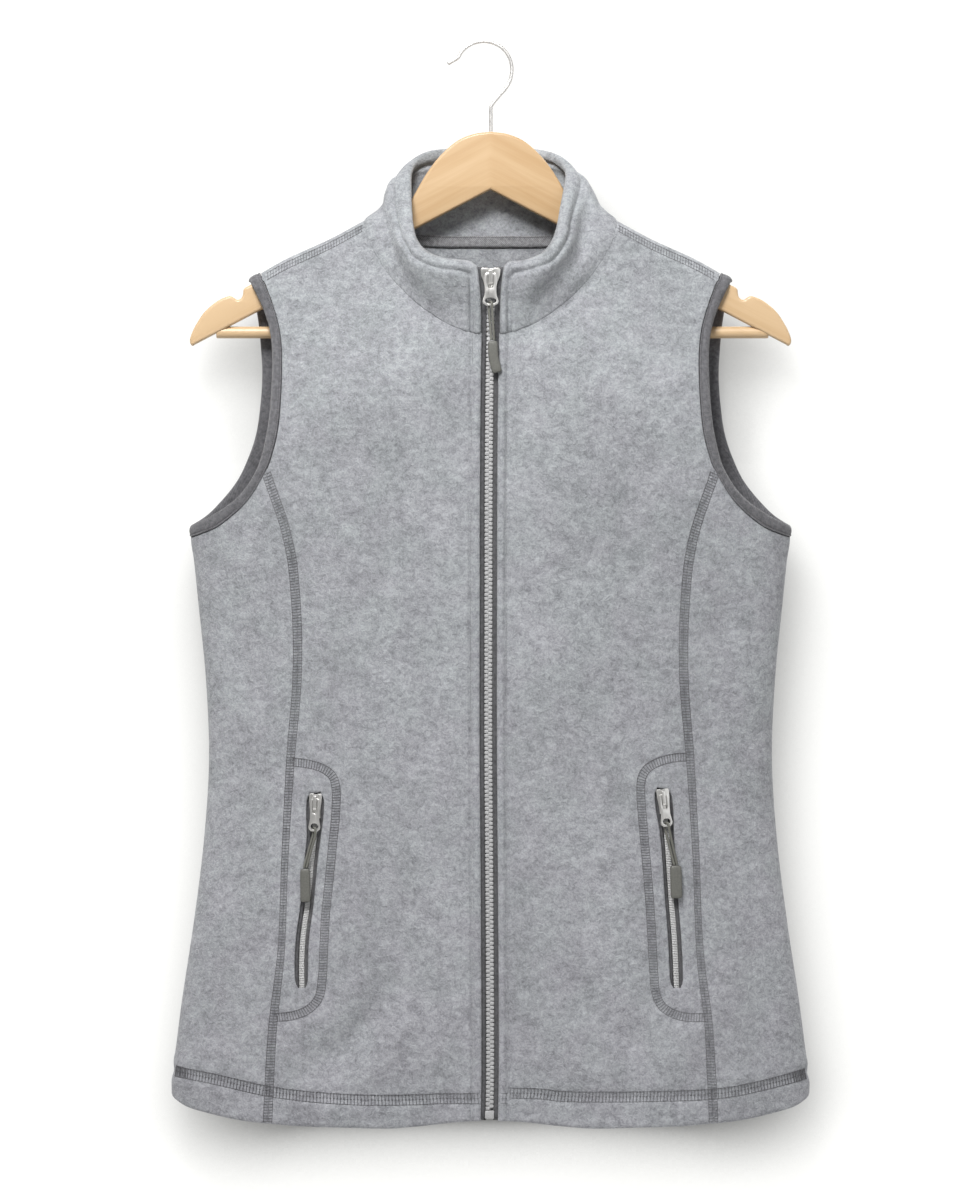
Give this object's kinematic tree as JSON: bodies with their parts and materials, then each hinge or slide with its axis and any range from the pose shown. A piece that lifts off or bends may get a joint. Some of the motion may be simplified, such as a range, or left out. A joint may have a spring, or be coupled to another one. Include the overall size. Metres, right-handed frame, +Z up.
{
  "type": "fleece vest on a wooden clothes hanger",
  "caption": "Sleeveless zip-front fleece vest with a stand collar and zipped side pockets, hung on a flat wooden clothes hanger with a bar and a wire hook.",
  "frame": {"origin": "inner top of the hanger's hook, where a rail bears, in the garment's middle plane", "axes": "+X to the viewer's right of the front, -Y the way the front faces, +Z up"},
  "size_m": [0.4732, 0.0799, 0.8054],
  "materials": {
    "fleece": "heathered polyester fleece, soft brushed nap",
    "pocket_lining": "plain knit pocketing",
    "binding": "darker knit binding and tape",
    "zip_tape": "woven zip tape",
    "zip_teeth": "light grey moulded teeth",
    "slider_metal": "bright silver plate",
    "pull_cord": "braided cord",
    "pull_grip": "soft matt grip",
    "hanger_wood": "clear satin lacquer on pale wood",
    "hook_metal": "satin nickel wire"
  },
  "bodies": {
    "vest_and_hanger": {"front_centre_right": "fleece", "front_side_right": "fleece", "armhole_binding_right": "binding", "pocket_bag_right": "pocket_lining", "front_centre_left": "fleece", "front_side_left": "fleece", "armhole_binding_left": "binding", "pocket_bag_left": "pocket_lining", "back": "fleece", "collar": "fleece", "neck_tape": "binding", "zip_tape_right": "zip_tape", "zip_tape_left": "zip_tape", "zip_chain": "zip_teeth", "zip_box": "zip_teeth", "zip_slider": "slider_metal", "pocket_tape_outer_right": "zip_tape", "pocket_tape_inner_right": "zip_tape", "pocket_chain_right": "zip_teeth", "pocket_slider_right": "slider_metal", "pocket_tape_outer_left": "zip_tape", "pocket_tape_inner_left": "zip_tape", "pocket_chain_left": "zip_teeth", "pocket_slider_left": "slider_metal", "hanger_body": "hanger_wood", "hanger_bar": "hanger_wood", "hanger_hook": "hook_metal"},
    "main_pull": {"zip_puller": "slider_metal", "zip_pull_cord": "pull_cord", "zip_pull_grip": "pull_grip"},
    "pocket_pull_right": {"pocket_puller_right": "slider_metal", "pocket_pull_cord_right": "pull_cord", "pocket_pull_grip_right": "pull_grip"},
    "pocket_pull_left": {"pocket_puller_left": "slider_metal", "pocket_pull_cord_left": "pull_cord", "pocket_pull_grip_left": "pull_grip"}
  },
  "joints": [
    {"name": "main_pull_swing", "type": "hinge", "parent": "vest_and_hanger", "child": "main_pull", "pos_m": [0, -0.04552, -0.17263], "axis": [-1, 0, 0], "range_deg": [0, 150]},
    {"name": "pocket_pull_swing_right", "type": "hinge", "parent": "vest_and_hanger", "child": "pocket_pull_right", "pos_m": [0.12737, -0.0366, -0.55599], "axis": [-0.987, -0.1144, -0.113], "range_deg": [0, 150]},
    {"name": "pocket_pull_swing_left", "type": "hinge", "parent": "vest_and_hanger", "child": "pocket_pull_left", "pos_m": [-0.12988, -0.03632, -0.55949], "axis": [-0.9902, 0.1197, 0.0725], "range_deg": [0, 150]}
  ]
}
